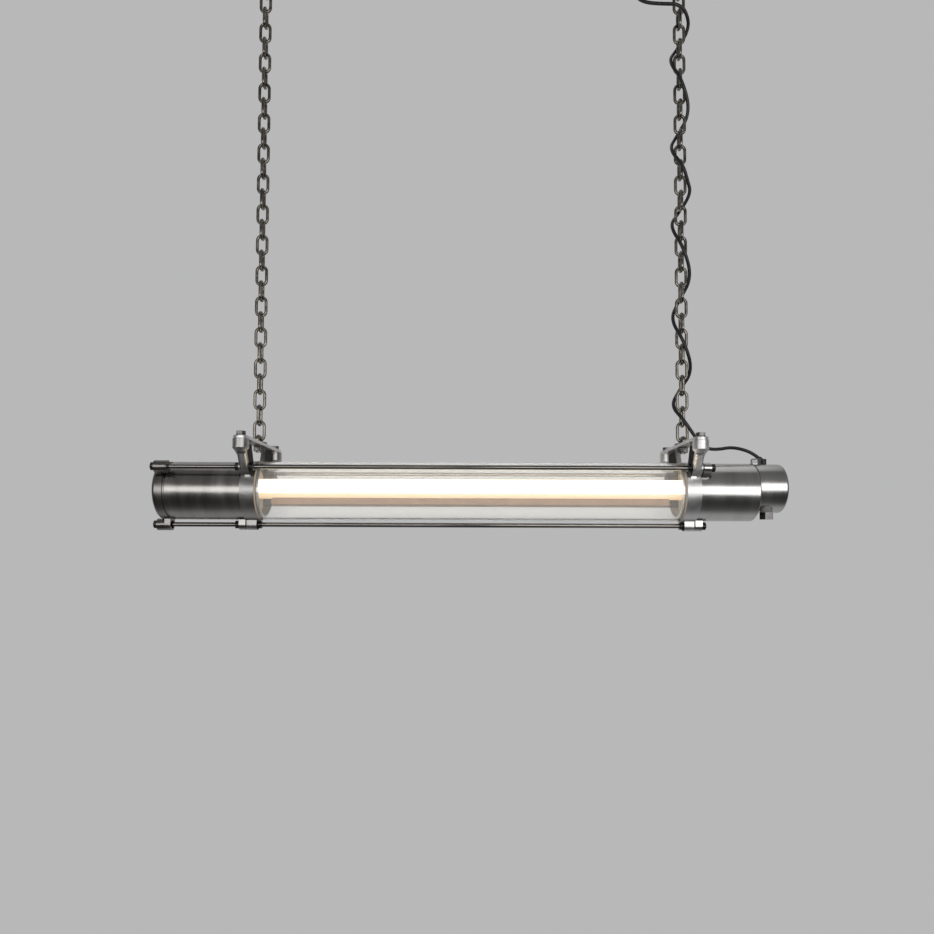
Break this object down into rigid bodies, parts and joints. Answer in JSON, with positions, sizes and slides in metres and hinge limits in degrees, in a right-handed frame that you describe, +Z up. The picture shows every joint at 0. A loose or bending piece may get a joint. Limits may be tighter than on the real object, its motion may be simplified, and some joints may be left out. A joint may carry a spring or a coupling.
{
  "type": "pendant lamp",
  "caption": "Industrial tube light hung on chains: a lit tube in a clear glass tube clamped between steel housings by tie rods, with its cord wound round one chain.",
  "frame": {"origin": "on the ceiling, midway between the two chain hooks", "axes": "+X along the lamp towards its cable end, +Y away from the viewer, +Z up"},
  "size_m": [0.8195, 0.1694, 0.7759],
  "materials": {
    "burnished_steel": "burnished, mottled",
    "end_cap_steel": "burnished, dark",
    "polished_steel": "polished",
    "collar_steel": "polished cast steel",
    "rod_steel": "drawn bar",
    "fastener_steel": "plain steel",
    "chain_steel": "dark antique steel",
    "ceiling_steel": "dark antique steel",
    "rose_paint": "satin black",
    "black_rubber": "matt",
    "glass_seal": "matt grey",
    "wireway_paint": "satin brown",
    "cord_black": "satin",
    "clear_glass": "clear",
    "warm_diffuser": "opal, lit",
    "tube_cap": "satin",
    "pin_brass": "plain",
    "board": "white coated",
    "cream_plate": "satin cream",
    "holder_plastic": "satin white",
    "dark_saddle": "satin dark",
    "grey_plug": "satin grey",
    "terminal_plastic": "matt",
    "wire_plastic": "satin"
  },
  "bodies": {
    "ceiling": {"ceiling_plate_left": "ceiling_steel", "ceiling_plate_right": "ceiling_steel", "ceiling_hook_left": "ceiling_steel", "ceiling_hook_right": "ceiling_steel", "hook_nuts": "fastener_steel", "rose_base": "rose_paint", "rose_cover": "rose_paint", "rose_block": "terminal_plastic", "rose_grip": "black_rubber", "cord_ceiling": "cord_black"},
    "top_links": {"top_link_left": "chain_steel", "top_link_right": "chain_steel"},
    "right_chain": {"chain_right": "chain_steel", "cord_upper": "cord_black", "cord_lower": "cord_black"},
    "last_links": {"last_link_left": "chain_steel", "last_link_right": "chain_steel"},
    "left_chain": {"chain_left": "chain_steel"},
    "lamp": {"blanking_plug": "grey_plug", "cable_gland": "black_rubber", "chain_eye_left": "chain_steel", "chain_eye_right": "chain_steel", "collar_left": "collar_steel", "collar_right": "collar_steel", "cord_loop": "cord_black", "cover_gasket": "black_rubber", "drain_plug": "fastener_steel", "eye_nuts": "fastener_steel", "glass_gasket_left": "glass_seal", "glass_gasket_right": "glass_seal", "glass_tube": "clear_glass", "hanger_strap_left": "collar_steel", "hanger_strap_right": "collar_steel", "holder_plate_left": "cream_plate", "holder_plate_right": "cream_plate", "inner_wires": "wire_plastic", "lampholder_left": "holder_plastic", "lampholder_right": "holder_plastic", "left_end_cap": "end_cap_steel", "left_housing": "burnished_steel", "right_housing": "polished_steel", "rod_nuts": "fastener_steel", "strap_bolts": "fastener_steel", "strap_washers": "fastener_steel", "supply_tail": "cord_black", "terminal_block": "terminal_plastic", "terminal_cover": "polished_steel", "tie_rod_bottom": "rod_steel", "tie_rod_front": "rod_steel", "tie_rod_rear": "rod_steel", "tube_saddle_left": "dark_saddle", "tube_saddle_right": "dark_saddle", "wireway": "wireway_paint"},
    "led_tube": {"tube_diffuser": "warm_diffuser", "tube_board": "board", "tube_caps": "tube_cap", "tube_pins": "pin_brass"}
  },
  "joints": [
    {"name": "front_back_swing", "type": "hinge", "parent": "ceiling", "child": "top_links", "pos_m": [0, 0, -0.0375], "axis": [1, 0, 0], "range_deg": [-20, 20], "deforming": ["cord_ceiling"]},
    {"name": "side_sway", "type": "hinge", "parent": "top_links", "child": "right_chain", "pos_m": [0.2783, 0, -0.0572], "axis": [0, 1, 0], "range_deg": [-15, 15], "deforming": ["cord_upper"]},
    {"name": "right_level", "type": "hinge", "parent": "right_chain", "child": "last_links", "pos_m": [0.2783, 0, -0.6368], "axis": [0, 1, 0], "range_deg": [-15, 15], "deforming": ["cord_lower"]},
    {"name": "left_follow", "type": "hinge", "parent": "last_links", "child": "left_chain", "pos_m": [-0.2783, 0, -0.6368], "axis": [0, 1, 0], "range_deg": [-15, 15]},
    {"name": "lamp_tilt", "type": "hinge", "parent": "last_links", "child": "lamp", "pos_m": [0, 0, -0.6575], "axis": [1, 0, 0], "range_deg": [-15, 15], "deforming": ["cord_loop"]},
    {"name": "tube_twist", "type": "hinge", "parent": "lamp", "child": "led_tube", "pos_m": [0, 0, -0.7212], "axis": [1, 0, 0], "range_deg": [0, 90]}
  ],
  "couplings": [
    {"joint": "right_level", "follows": "side_sway", "ratio": -1},
    {"joint": "left_follow", "follows": "side_sway", "ratio": 1}
  ]
}
